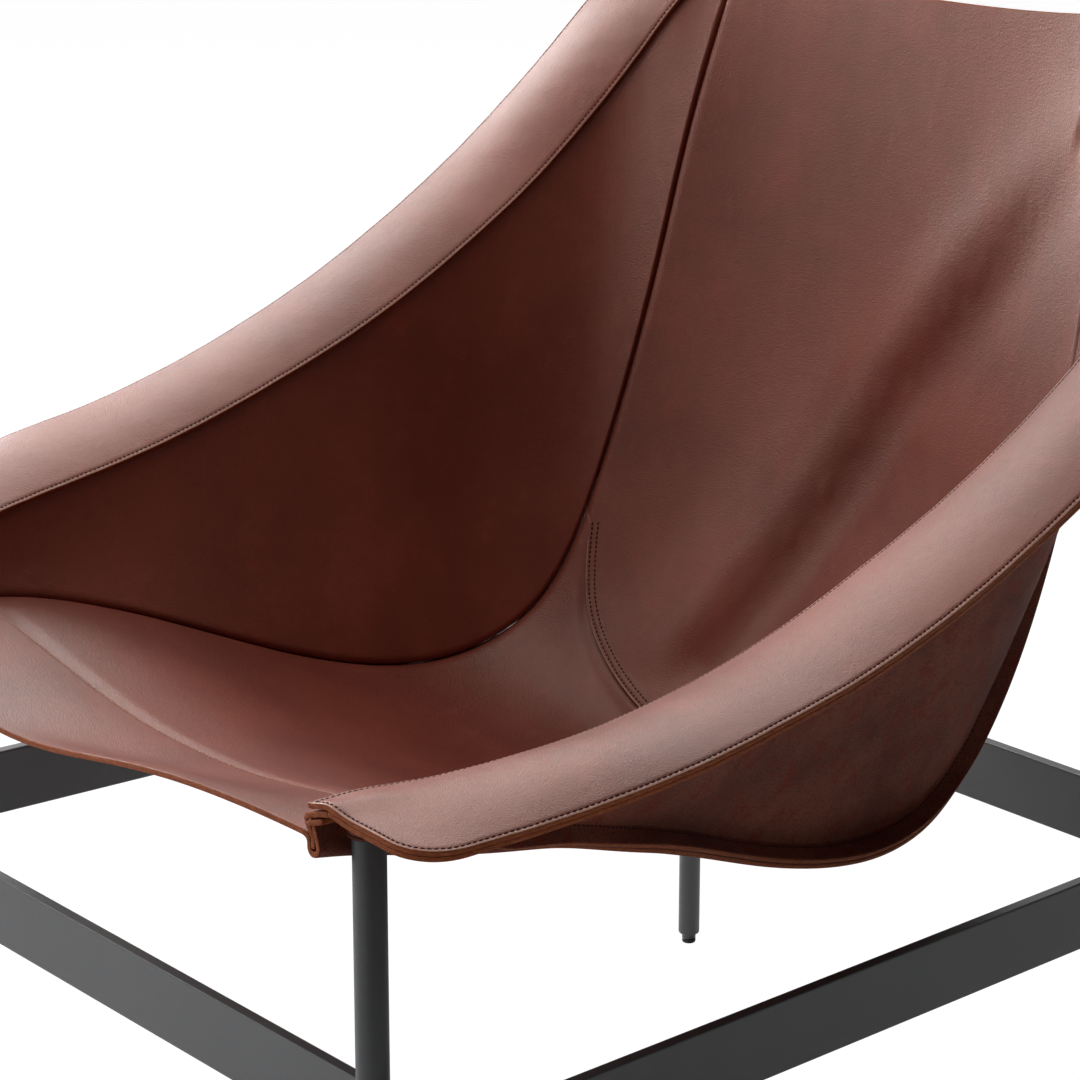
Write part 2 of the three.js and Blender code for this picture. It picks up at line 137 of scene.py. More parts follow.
powder_coat, here, place = new_finish("powder coat")
peel = here.noise(place, 900, 2)
patches = here.noise(place, 7, 4)
speckle = here.noise(place, 260, 3)
coat_colour = patches.ramp(0.3, 0.7).blend((*srgb(69, 70, 72), 1), (*srgb(78, 79, 81), 1))
coat_colour = (speckle.ramp(0.45, 0.8) * 0.25).blend(coat_colour, (*srgb(84, 85, 87), 1))
close_finish(here, {
    "Base Color": coat_colour,
    "Roughness": patches * 0.12 + speckle * 0.08 + 0.34,
    "Normal": here.bumps(peel, 0.00006),
})

steel_bars = ("front_bar", "rear_bar", "left_bar", "right_bar")
for name in steel_bars:
    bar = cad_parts[name]
    bar.data.materials.clear()
    bar.data.materials.append(powder_coat)

# Legs and posts: round steel tubes welded to the bars' outer faces and powder coated with
# them. Each foot is turned down to a neck that takes a black plastic glide.
black_plastic, here, place = new_finish("black plastic")
moulded = here.noise(place, 1400, 3)
scuffs = here.noise(place, 90, 4).ramp(0.5, 0.75)
close_finish(here, {
    "Base Color": (scuffs * 0.5).blend((*srgb(30, 30, 31), 1), (*srgb(64, 62, 60), 1)),
    "Roughness": scuffs * 0.2 + 0.45,
    "Normal": here.bumps(moulded, 0.00005),
})


def new_piece(name, points, faces, materials, face_materials=None, smooth=True):
    """A mesh object at the origin, with its place in its mesh."""
    mesh = bpy.data.meshes.new(name)
    mesh.from_pydata(np.asarray(points).tolist(), [], [list(map(int, f)) for f in faces])
    for material in materials:
        mesh.materials.append(material)
    if face_materials is not None:
        mesh.polygons.foreach_set("material_index", np.asarray(face_materials, np.int32))
    mesh.polygons.foreach_set("use_smooth", np.full(len(mesh.polygons), smooth))
    mesh.update()
    piece = bpy.data.objects.new(name, mesh)
    bpy.context.scene.collection.objects.link(piece)
    return piece


def turned(name, profile, centre, material, sides=72):
    """A solid turned about an upright axis from a closed profile of radius and height."""
    angles = np.arange(sides) * 2 * math.pi / sides
    points, rings = [], []
    for radius, height in profile:
        if radius == 0:
            rings.append([len(points)] * sides)
            points.append((centre[0], centre[1], height))
        else:
            rings.append(range(len(points), len(points) + sides))
            points.extend(zip(
                centre[0] + radius * np.cos(angles),
                centre[1] + radius * np.sin(angles),
                np.full(sides, height),
            ))
    faces = []
    for below, above in zip(rings, rings[1:]):
        for i in range(sides):
            j = (i + 1) % sides
            corners = [below[i], below[j], above[j], above[i]]
            faces.append(list(dict.fromkeys(corners)))
    return new_piece(name, points, faces, [material])


def rounded(corner_radius, centre_radius, centre_height, start, end, steps=6):
    """Points round an edge, from one angle in degrees to another, 0 outwards and 90 up."""
    angles = np.radians(np.linspace(start, end, steps + 1))
    return [
        (centre_radius + corner_radius * math.cos(a), centre_height + corner_radius * math.sin(a))
        for a in angles
    ]


neck_radius = 0.00525
shoulder_height = 0.0075
shoulder_edge = 0.0018
tube_wall = 0.002
glide_edge = 0.0012
tube_kinds = (("leg", "front_leg"), ("post", "rear_post"))
tube_places = {}
for kind, cad_name in tube_kinds:
    for side in ("left", "right"):
        low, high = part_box(f"{cad_name}_{side}")
        centre = ((low.x + high.x) / 2, (low.y + high.y) / 2)
        radius = (high.x - low.x) / 2
        bore = radius - tube_wall
        tube_places[kind, side] = (*centre, radius, high.z)
        edge_ring = radius - shoulder_edge
        tube = turned(f"{kind}_tube_{side}", [
            (0, shoulder_height + 0.004),
            (bore, shoulder_height + 0.004),
            (bore, high.z),
            (radius - 0.0004, high.z),
            (radius, high.z - 0.0004),
            (radius, (high.z + shoulder_height) / 2),
            *rounded(shoulder_edge, edge_ring, shoulder_height + shoulder_edge, 0, -90),
            (neck_radius + 0.0008, shoulder_height),
            (neck_radius + 0.0002, shoulder_height - 0.0002),
            (neck_radius, shoulder_height - 0.0008),
            (neck_radius, low.z + 0.0003),
            (neck_radius - 0.0004, low.z),
            (0, low.z),
        ][::-1], centre, powder_coat)
        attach(tube, "root")
        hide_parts(f"{cad_name}_{side}")
        glide = turned(f"{kind}_glide_{side}", [
            (0, 0),
            (neck_radius - 0.0022, 0),
            *rounded(glide_edge, neck_radius - glide_edge, glide_edge, -90, 0),
            *rounded(0.0005, neck_radius - 0.0005, low.z - 0.0008, 0, 90, 3),
            (0, low.z - 0.0003),
        ], centre, black_plastic)
        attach(glide, "root")
        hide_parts(f"{cad_name}_glide_{side}")

# End caps: black plastic domes pushed into the tubes' tops, which keep the cut steel from
# wearing through the leather. They show only from below, between tube and pocket.
for kind, cad_name in tube_kinds:
    for side in ("left", "right"):
        cap_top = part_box(f"{cad_name}_cap_{side}")[1].z
        x, y, radius, tube_top = tube_places[kind, side]
        dome_centre = cap_top - radius
        cap = turned(f"{kind}_end_cap_{side}", [
            (0, tube_top + 0.0003),
            (radius - 0.0003, tube_top + 0.0003),
            (radius, tube_top + 0.0006),
            (radius, dome_centre),
            *rounded(radius, 0, dome_centre, 10, 80, 8),
            (0, cap_top),
        ], (x, y), black_plastic)
        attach(cap, "root")
        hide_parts(f"{cad_name}_cap_{side}")

# Saddle leather: 3.3 mm hide, dyed reddish brown through its grain side and waxed to a satin
# gloss. The flesh side is a short mottled nap, and the cut edges show the orange core.
grain_leather, here, place = new_finish("grain side of the leather")
clouds = here.noise(place, 5.5, 4, 0.6)
blotches = here.noise(place, 23, 4, 0.6)
fleck = here.noise(place, 190, 3, 0.6)
hair_lines = here.noise(here.stretched(place, (1, 0.35, 0.35)), 120, 3, 0.6)
pores = here.noise(place, 1000, 2, 0.5)
fine_folds = here.noise(place, 420, 3, 0.6)
hide_colour = clouds.ramp(0.32, 0.68).blend((*srgb(112, 50, 38), 1), (*srgb(134, 66, 50), 1))
hide_colour = (blotches.ramp(0.5, 0.78) * 0.4).blend(hide_colour, (*srgb(146, 68, 48), 1))
hide_colour = (fleck.ramp(0.5, 0.85) * 0.3).blend(hide_colour, (*srgb(98, 44, 34), 1))
hide_colour = (hair_lines.ramp(0.5, 0.8) * 0.2).blend(hide_colour, (*srgb(152, 86, 66), 1))
hide_colour = (pores.ramp(0.48, 0.7) * 0.22).blend(hide_colour, (*srgb(84, 36, 26), 1))
leather_bump = here.bumps(pores * 0.75 + fine_folds * 0.25, 0.0005)
leather_bump = here.bumps(blotches, 0.0006, leather_bump)
close_finish(here, {
    "Base Color": hide_colour,
    "Roughness": clouds * 0.08 + fleck * 0.10 + 0.31,
    "Specular Tint": (1.0, 0.96, 0.85, 1),
    "Normal": leather_bump,
})

flesh_leather, here, place = new_finish("flesh side of the leather")
nap_clouds = here.noise(place, 9, 5, 0.65)
nap_spots = here.noise(place, 75, 4, 0.7)
nap_fibres = here.noise(place, 900, 3, 0.7)
nap_colour = nap_clouds.ramp(0.3, 0.7).blend((*srgb(90, 43, 31), 1), (*srgb(134, 74, 56), 1))
nap_colour = (nap_spots.ramp(0.50, 0.65) * 0.7).blend(nap_colour, (*srgb(124, 46, 28), 1))
nap_colour = (nap_fibres.ramp(0.45, 0.65) * 0.6).blend(nap_colour, (*srgb(44, 22, 17), 1))
close_finish(here, {
    "Base Color": nap_colour,
    "Roughness": nap_spots * 0.15 + 0.72,
    "Normal": here.bumps(nap_fibres, 0.0005, here.bumps(nap_spots, 0.0008)),
    "Specular IOR Level": 0.2,
})

cut_leather, here, place = new_finish("cut edge of the leather")
layers = here.noise(here.stretched(place, (0.5, 0.5, 4)), 420, 3, 0.6)
core_fibres = here.noise(place, 1100, 3, 0.7)
core_colour = layers.ramp(0.3, 0.7).blend((*srgb(118, 56, 30), 1), (*srgb(154, 84, 48), 1))
core_colour = (core_fibres.ramp(0.45, 0.75) * 0.6).blend(core_colour, (*srgb(84, 38, 22), 1))
close_finish(here, {
    "Base Color": core_colour,
    "Specular IOR Level": 0.15,
    "Roughness": core_fibres * 0.2 + 0.62,
    "Normal": here.bumps(core_fibres, 0.0004),
})

# The skived corner is paler than the grain. This is partly the leather's own paler layer and partly
# a painted highlight for the light the bevel catches.
skived_leather_with_highlight, here, place = new_finish("skived corner of the leather with a painted highlight")
fuzz = here.noise(place, 900, 3, 0.6)
skived_colour_with_highlight = fuzz.ramp(0.3, 0.75).blend((*srgb(196, 152, 130), 1), (*srgb(158, 108, 84), 1))
close_finish(here, {
    "Base Color": skived_colour_with_highlight,
    "Roughness": fuzz * 0.2 + 0.35,
    "Normal": here.bumps(fuzz, 0.0002),
})

# Sling rails: lines over numbered places from the front corner to the top corner give the
# sling its shape. They are the band's inner edge or rim, the side seam, the middle line or
# keel, and the band's outer edge.

# Each row gives shares of the span, rise, drop and flare. A band row gives shares of the
# band's width, outwards and up from the rim.
rim_shares = np.array([
    (-0.036, 0, 0, -0.080), (0.011, 0.003, 0, 0.020), (0.077, 0.003, 0, 0.347),
    (0.179, 0.030, 0, 0.906), (0.276, 0.059, 0, 1.107), (0.384, 0.104, 0, 1.207),
    (0.505, 0.181, 0, 1.273), (0.630, 0.279, 0, 1.343), (0.737, 0.391, 0, 1.411),
    (0.834, 0.516, 0, 1.425), (0.903, 0.654, 0, 1.217), (0.940, 0.765, 0, 0.885),
    (0.970, 0.888, 0, 0.423), (1.018, 1.000, 0, 0.100),
])
seam_shares = np.array([
    (-0.034, 0, 0.087, -0.080), (0.013, 0, 0.117, 0.025), (0.100, 0, 0.182, 0.364),
    (0.197, 0, 0.245, 0.506), (0.293, 0, 0.361, 0.409), (0.379, 0, 0.489, 0.132),
    (0.482, 0, 0.644, -0.055), (0.590, 0, 0.749, -0.131), (0.691, 0, 0.738, -0.141),
    (0.775, 0, 0.540, -0.225), (0.840, 0, 0.109, -0.165), (0.902, 0.295, 0, -0.176),
    (0.947, 0.648, 0, -0.262), (1.006, 0.979, 0, -0.289),
])
keel_shares = np.array([
    (-0.018, 0, 0.280, 0), (0.023, 0, 0.291, 0), (0.094, 0, 0.335, 0), (0.193, 0, 0.462, 0),
    (0.286, 0, 0.604, 0), (0.373, 0, 0.731, 0), (0.478, 0, 0.874, 0), (0.583, 0, 0.967, 0),
    (0.663, 0, 1.000, 0), (0.726, 0, 0.989, 0), (0.839, 0, 0.709, 0), (0.940, 0.032, 0, 0),
    (0.994, 0.488, 0, 0), (1.027, 0.943, 0, 0),
])
band_shares = np.array([
    (0.880, -0.060), (0.880, -0.050), (0.902, 0.006), (0.910, 0.062), (0.934, 0.105),
    (0.920, 0.087), (0.913, 0.071), (0.898, 0.090), (0.906, 0.085), (0.931, 0.069),
    (0.935, 0.034), (0.956, -0.021), (0.990, -0.099), (0.940, -0.030),
])
last_place = len(rim_shares) - 1
leg_x, leg_y, leg_radius, _ = tube_places["leg", "left"]
post_x, post_y, post_radius, _ = tube_places["post", "left"]
rim_inset = 0.0087
rim_height, rim_rise, seat_drop, rim_flare = 0.419, 0.340, 0.182, 0.044
band_width = 0.100


def rail_points(shares):
    span, rise, drop, flare = shares.T
    corner_xs = (leg_x - leg_radius - rim_inset, post_x - post_radius - rim_inset)
    return np.stack([
        corner_xs[0] + (corner_xs[1] - corner_xs[0]) * span + rim_flare * flare,
        leg_y + (post_y - leg_y) * span,
        rim_height + rim_rise * rise - seat_drop * drop,
    ], 1)


class Rail:
    """A smooth line close along points at the numbered places, with its pace per place."""

    steps = 100

    def __init__(self, points, spread=0.25):
        ends = np.vstack([2 * points[0] - points[1], points, 2 * points[-1] - points[-2]])
        places = np.arange(last_place * self.steps + 1) / self.steps
        i = np.minimum(places.astype(int), last_place - 1)
        t = (places - i)[:, None]
        p0, p1, p2, p3 = (ends[i + k] for k in range(4))
        line = 0.5 * (
            2 * p1 + (p2 - p0) * t + (2 * p0 - 5 * p1 + 4 * p2 - p3) * t ** 2
            + (3 * p1 - p0 - 3 * p2 + p3) * t ** 3
        )
        reach = int(3 * spread * self.steps)
        weights = np.exp(-0.5 * (np.arange(-reach, reach + 1) / spread / self.steps) ** 2)
        weights /= weights.sum()
        before = 2 * line[0] - line[reach:0:-1]
        after = 2 * line[-1] - line[-2:-reach - 2:-1]
        padded = np.vstack([before, line, after])
        self.line = np.stack([np.convolve(c, weights, "valid") for c in padded.T], 1)
        self.places = places
        self.pace = np.gradient(self.line, 1 / self.steps, axis=0)

    def __call__(self, places, of=None):
        of = self.line if of is None else of
        return np.stack([np.interp(places, self.places, c) for c in of.T], -1)

    def along(self, places):
        return unit(self(places, self.pace))

    def speed(self, place):
        return float(np.linalg.norm(self(place, self.pace)))


def unit(vectors):
    return vectors / np.maximum(np.linalg.norm(vectors, axis=-1, keepdims=True), 1e-12)


def soft_step(values, low, high):
    share = np.clip((values - low) / (high - low), 0, 1)
    return share * share * (3 - 2 * share)


rim = Rail(rail_points(rim_shares))
seam = Rail(rail_points(seam_shares))
keel = Rail(rail_points(keel_shares) * (0, 1, 1))
edge_points = rail_points(rim_shares) + band_width * band_shares[:, [0, 0, 1]] * (1, 0, 1)
corner_nudges = [(0.0020, 0.0048, 0), (0.0010, 0.0024, 0)]
edge_points[:2] += np.array(corner_nudges)
edge = Rail(edge_points)

# Rim bands: a 100 mm strip along each side, sewn down its inner edge to the side panel and
# round its outer edge to a second layer. It arches a little, and each leg's cap lifts it
# near the front end.
leather = 0.0033
bevel_width = 0.0006
bevel_depth = 0.0003
cut_steps = np.array([0, 0.0003, 0.0006, 0.0012, 0.0017, 0.0022, 0.0027, 0.0033, 0.0043, 0.006])
hide_finishes = [grain_leather, flesh_leather, cut_leather, skived_leather_with_highlight]
band_arch = 0.009
corner_radius = 0.028
seam_margin = 0.015
lining_start = seam_margin + 0.001
groove_depth = 0.0005
groove_width = 0.0008
outer_row = 0.0023
inner_row = 0.0026
front_hump = 0.0030
hump_across, hump_width, hump_run = 0.015, 0.011, 0.014
cap_rise = 0.0022
cap_across, cap_back, cap_spread = 0.020, 0.024, 0.013
unevenness = 0.00012
layer_gap = 0.00004


def rows_between(start, end, guide, per_place):
    """Places from start to end, close together beside both cut edges."""
    inner = np.linspace(start, end, max(3, round((end - start) * per_place)))
    first = start + cut_steps / guide.speed(start)
    last = end - cut_steps / guide.speed(end)
    kept = inner[(inner > first[-1] + 0.02) & (inner < last[-1] - 0.02)]
    return np.concatenate([first, kept, last[::-1]])


def sheet_normals(grid):
    """Unit normals of a grid of points, lengthened where the sheet bends across its rows."""
    run = np.gradient(grid, axis=0)
    steps = unit(np.diff(grid, axis=1))
    ahead = np.concatenate([steps, steps[:, -1:]], 1)
    behind = np.concatenate([steps[:, :1], steps], 1)
    bend = ahead + behind
    size = np.linalg.norm(bend, axis=-1, keepdims=True)
    return unit(np.cross(unit(run), bend / size)) * np.minimum(2 / size, 1.3)


def cut_sheet(name, grid, from_cut, turn, near=0.0, shape=0.0, pale=None,
              finishes=hide_finishes):
    """A sheet of leather from a grid on its grain face, with the cut edge's corner skived off.
    from_cut is each point's distance to the nearest cut edge, near is how far the face lies
    behind the grid, shape raises it, and pale is the distance to an edge whose skived corner
    shows pale, partly its own paler leather and partly a painted highlight.
    Returns the piece and its back."""
    rows, cols = grid.shape[:2]
    normals = sheet_normals(grid) * turn
    fall = bevel_depth * np.clip(1 - from_cut / bevel_width, 0, 1) ** 1.4
    shape = np.broadcast_to(shape, (rows, cols))
    face = grid + normals * (near - shape + fall)[..., None]
    back = grid + normals * (near + leather - shape * 0.7 - fall * 0.4)[..., None]
    rim_of_grid = [(0, j) for j in range(cols)]
    rim_of_grid += [(i, cols - 1) for i in range(1, rows)]
    rim_of_grid += [(rows - 1, j) for j in range(cols - 2, -1, -1)]
    rim_of_grid += [(i, 0) for i in range(rows - 2, 0, -1)]
    rim_rows, rim_cols = np.array(rim_of_grid).T
    inner_rows = np.clip(rim_rows, 1, rows - 2)
    inner_cols = np.clip(rim_cols, 1, cols - 2)
    out = unit(grid[rim_rows, rim_cols] - grid[inner_rows, inner_cols])
    face_edge, back_edge = face[rim_rows, rim_cols], back[rim_rows, rim_cols]
    rings = [
        face_edge + (back_edge - face_edge) * share + out * swell
        for share, swell in ((0.12, 0.00012), (0.5, 0.00022), (0.88, 0.00012))
    ]
    points = np.concatenate([face.reshape(-1, 3), back.reshape(-1, 3), *rings])
    count, around = rows * cols, len(rim_rows)
    first = (np.arange(rows - 1)[:, None] * cols + np.arange(cols - 1)).ravel()
    quads = np.stack([first, first + 1, first + cols + 1, first + cols], 1)
    index = rim_rows * cols + rim_cols
    levels = [index, *(2 * count + k * around + np.arange(around) for k in range(3))]
    levels.append(index + count)
    walls = [
        np.stack([np.roll(above, -1), above, below, np.roll(below, -1)], 1)
        for above, below in zip(levels, levels[1:])
    ]
    faces = np.concatenate([quads, quads[:, ::-1] + count, *walls])
    p, q, r = (points[faces[:, k]] for k in range(3))
    if np.einsum("ij,ij->i", p, np.cross(q - p, r - p)).sum() < 0:
        faces = faces[:, ::-1]
    which = np.repeat([0, 1, 2], [len(quads), len(quads), 4 * around])
    # Faces on a cut edge's bevel take the cut colour. Faces on a pale edge's bevel take the skived
    # finish with its painted highlight.
    for finish, distance in ((2, from_cut), (3, pale)):
        if distance is not None:
            near_cut = np.broadcast_to(distance, (rows, cols)).ravel()[quads].max(1)
            which[:len(quads)][near_cut < 1.05 * bevel_width] = finish
    return new_piece(name, points, faces, finishes, which), back


def band_widths(places):
    return np.linalg.norm(edge(places) - rim(places), axis=-1)


def band_surface(places, across):
    """The band's top face at a distance across from its inner edge."""
    inner = rim(places)
    span = edge(places) - inner
    width = np.linalg.norm(span, axis=-1)
    share = across / width
    up = unit(np.cross(span, rim.along(places)))
    from_end = np.minimum(places, last_place - places)
    lift = 0.25 + 0.75 * soft_step(from_end, 0, 3)
    rise = band_arch * 4 * share * (1 - share) * lift
    back_from_front = places * rim.speed(0)
    hump = np.exp(-((across - hump_across) / hump_width) ** 2 - (back_from_front / hump_run) ** 2)
    over_cap = np.hypot(across - cap_across, back_from_front - cap_back)
    rise = rise + front_hump * hump + cap_rise * np.exp(-(over_cap / cap_spread) ** 2)
    waves = np.sin(places * 9.1 + share * 2.6) * np.sin(places * 3.7 + 1.3 + share * 5.0)
    rise = rise + unevenness * waves * soft_step(from_end, 0.5, 2)
    return inner + span * share[..., None] + up * rise[..., None]


def band_point(places, across, depth=0.0):
    """A point on the band's top face, or at a depth under it, and the way out of the face."""
    places, across = np.broadcast_arrays(np.asarray(places, float), across)
    point = band_surface(places, across)
    nudge = 0.0004
    along = band_surface(places + 0.02, across) - band_surface(places - 0.02, across)
    over = band_surface(places, across + nudge) - band_surface(places, across - nudge)
    out = unit(np.cross(over, along))
    return point - out * np.broadcast_to(depth, places.shape)[..., None], out


def groove(distance, row):
    return -groove_depth * np.exp(-((distance - row) / groove_width) ** 2)


def end_distance(places):
    return np.minimum(places * edge.speed(0), (last_place - places) * edge.speed(last_place))


def band_grid(start, columns):
    """Rows along the band, and columns at distances across it from a start to the rounded
    outer edge, with each point's distance to the inner and to the outer and end edges."""
    places = rows_between(0, last_place, edge, 19)
    corner = np.array([0.008, 0.0095, 0.011, 0.0125, 0.014, 0.016, 0.018, 0.020, 0.0225, 0.025])
    corner = np.concatenate([corner / edge.speed(0), last_place - corner / edge.speed(last_place)])
    places = np.sort(np.concatenate([places, corner]))
    to_end = end_distance(places)[:, None]
    rest = np.clip(corner_radius - to_end, 0, corner_radius)
    cut = corner_radius - np.sqrt(corner_radius ** 2 - rest ** 2)
    side = band_widths(places)[:, None] - cut
    middle = np.linspace(0, 1, columns)[1:-1]
    low, high = start + cut_steps, side - cut_steps[::-1]
    between = low[-1] + (high[:, :1] - low[-1]) * middle
    across = np.concatenate([np.broadcast_to(low, high.shape), between, high], 1)
    to_side = band_widths(places)[:, None] - across
    in_corner = (to_side < corner_radius) & (to_end < corner_radius)
    to_corner = corner_radius - np.hypot(corner_radius - to_side, corner_radius - to_end)
    to_outer = np.where(in_corner, to_corner, np.minimum(to_side, to_end))
    return places, across, across - start, np.maximum(to_outer, 0)


places, across, to_inner, to_outer = band_grid(0.0, 30)
grid, _ = band_point(places[:, None], across)
band_shape = groove(to_outer, outer_row) + groove(to_inner, inner_row)
from_cut = np.minimum(to_inner, to_outer)
both_sides = (("left", 1), ("right", -1))
for side, turn in both_sides:
    band_side = grid * (turn, 1, 1)
    # All of the band's cut edges take the pale skived finish, with its painted highlight.
    band, _ = cut_sheet(f"band_{side}", band_side, from_cut, turn, 0, band_shape, from_cut)
    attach(band, "root")
    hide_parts(f"rim_band_{side}")

places, across, to_inner, to_outer = band_grid(lining_start, 24)
grid, _ = band_point(places[:, None], across, leather + layer_gap)
from_cut = np.minimum(to_inner, to_outer)
for side, turn in both_sides:
    lining_side = grid * (turn, 1, 1)
    lining, _ = cut_sheet(f"band_lining_sheet_{side}", lining_side, from_cut, turn,
                          finishes=[flesh_leather, grain_leather, cut_leather, flesh_leather])
    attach(lining, "root")
    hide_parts(f"band_lining_{side}")

# Side panels: each hangs from the band's inner edge with its grain side inwards. Its top
# margin is sewn under the band, and its lower margin turns out into one half of a lip.
wall_bend = 0.0065
wall_columns = [5, 9, 44, 9, 10]
lip_width = 0.0135
seat_lip_width = 0.0195
wall_bulge = 0.007
front_curl = 0.0075
front_seam = 2.0
overhang = 0.0025
gap = 0.0003
lap_gap = 0.0005
margin_depth = leather + lap_gap + gap / 2
roll_reach = 0.0078
roll_radius = 0.0023


def cross_point(places, shares):
    """The middle sheet's face at a share of the way from the middle line to the side seam."""
    places, shares = np.broadcast_arrays(places, shares)
    side_seam, middle = seam(places), keel(places)
    stiff = 1 - soft_step(places, 1, 6)
    front = 1 - soft_step(places, 0, front_seam)
    shifted = np.minimum(1, np.abs(shares + 0.30 * front * (1 - shares ** 2)))
    slack = shifted ** 2.4
    saddle = np.sin(shifted * math.pi / 2) ** (2.4 - 0.4 * front)
    lift = slack + (saddle - slack) * stiff
    return np.stack([
        side_seam[..., 0] * shares,
        middle[..., 1] + (side_seam[..., 1] - middle[..., 1]) * lift,
        middle[..., 2] + (side_seam[..., 2] - middle[..., 2]) * lift,
    ], -1)


def rolled_share(places):
    """1 where the front panel rolls round the side panel's lip, and 0 behind it."""
    return 1 - soft_step(places, front_seam - 0.1, front_seam + 0.5)


def lip_reach(places):
    """How far the lip stands out from the seam: it is widest under the seat."""
    under_seat = soft_step(places, 2.8, 4.4) * (1 - soft_step(places, 7.0, 8.6))
    return lip_width + (seat_lip_width - lip_width) * under_seat


def lip_direction(places):
    """The way out of the seam between the middle sheet and the wall, straight down in front."""
    point, run = seam(places), seam.along(places)
    sheet_out = unit(point - cross_point(places, 0.94))
    wall_down = unit(point - band_point(places, overhang, margin_depth)[0])
    from_wall = soft_step(places, 2.6, 4.2) * (1 - soft_step(places, 7.6, 9.4))
    under_sheet = unit(np.cross(run, sheet_out)) * (1 - 0.9 * from_wall)[..., None]
    corner = unit(under_sheet + unit(np.cross(wall_down, run)))
    blend = soft_step(places, 1, 3)[..., None]
    return unit(np.array([0, 0, -1.0]) * (1 - blend) + corner * blend)


def rounded_path(points, reach, counts):
    """Rows of a path through corners, each rounded from a reach before it to one after it.
    counts gives the points of each straight and each corner in turn."""
    pieces, start = [], points[0]
    for k in range(1, len(points) - 1):
        before, after = points[k - 1] - points[k], points[k + 1] - points[k]
        shortest = np.minimum(np.linalg.norm(before, axis=-1), np.linalg.norm(after, axis=-1))
        near = np.minimum(reach, 0.42 * shortest)[:, None]
        turn_in, turn_out = points[k] + unit(before) * near, points[k] + unit(after) * near
        share = np.linspace(0, 1, counts[2 * k - 2], endpoint=False)[:, None, None]
        pieces.append(start + (turn_in - start) * share)
        share = np.linspace(0, 1, counts[2 * k - 1], endpoint=False)[:, None, None]
        bend = turn_in * (1 - share) ** 2 + points[k] * 2 * share * (1 - share)
        pieces.append(bend + turn_out * share ** 2)
        start = turn_out
    share = np.linspace(0, 1, counts[-1])[:, None, None]
    pieces.append(start + (points[-1] - start) * share)
    return np.concatenate(pieces).transpose(1, 0, 2)


def wall_grid(places):
    """The left side panel's face, from its margin under the band down to its lip's end."""
    foot, lip = seam(places), lip_direction(places)
    margin = band_point(places, seam_margin, margin_depth)[0]
    corner = band_point(places, overhang, margin_depth)[0]
    reach = lip_reach(places)
    lip_end = foot + lip * (reach + (roll_reach + 0.001 - reach) * rolled_share(places))[:, None]
    grid = rounded_path([margin, corner, foot, lip_end], wall_bend, wall_columns)
    down = foot - corner
    height = np.linalg.norm(down, axis=1)
    fallen = np.einsum("rcx,rx->rc", grid - corner[:, None], unit(down)) / height[:, None]
    outward = unit(np.cross(unit(down), seam.along(places)))
    from_end = np.minimum(places, last_place - places)
    at_front = 1 - soft_step(places, 0, 1.8)
    bulge = wall_bulge * soft_step(from_end, 1, 5) - front_curl * at_front
    stretch = 1 + 0.3 * at_front
    push = bulge[:, None] * np.sin(math.pi * np.clip(fallen / stretch[:, None], 0, 1))
    return grid + outward[:, None] * push[..., None]


def edge_distances(grid):
    """Each point's distance along its row from the row's first and from its last point."""
    step = np.linalg.norm(np.diff(grid, axis=1), axis=-1)
    zero = np.zeros((len(grid), 1))
    first = np.concatenate([zero, np.cumsum(step, 1)], 1)
    return first, first[:, -1:] - first


places = rows_between(0, last_place, rim, 17)
grid = wall_grid(places)
from_margin, from_lip = edge_distances(grid)
to_end = np.minimum(places * rim.speed(0), (last_place - places) * rim.speed(last_place))
from_cut = np.minimum(np.minimum(from_lip, from_margin), to_end[:, None])
walls = {}
for side, turn in both_sides:
    wall_side = grid * (turn, 1, 1)
    panel, back = cut_sheet(f"side_wall_{side}", wall_side, from_cut, -turn, gap / 2)
    walls[side] = panel, back
    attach(panel, "root")
    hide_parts(f"side_panel_{side}")

# Middle sheet: front, seat and back panels, sewn in laps at two cross seams where the seat
# panel runs underneath. The front panel's side margins roll round the side panels' lips and
# go up their outer faces to the bands.
fold = 0.008
lap_width = 0.014
front_lap_edge = 2.25
lumbar_lap_edge = 9.22
lap_sink = leather + 0.00015
lap_row = 0.0024
lap_rows_apart = 0.0042
fold_height = 0.0065
fold_width = 0.024
back_fold_line = np.array([
    (9.40, -0.42), (9.82, -0.42), (10.28, -0.34), (10.82, -0.16), (11.34, 0.03), (11.80, 0.30),
    (12.11, 0.54), (12.32, 0.78),
])
sink_run = 0.016
wall_outer_face = slice(4, -13)


def front_bend(shares):
    return -0.35 * soft_step(shares, 0.35, 0.85)


def lumbar_bend(shares):
    return 0.45 * np.abs(shares) ** 12


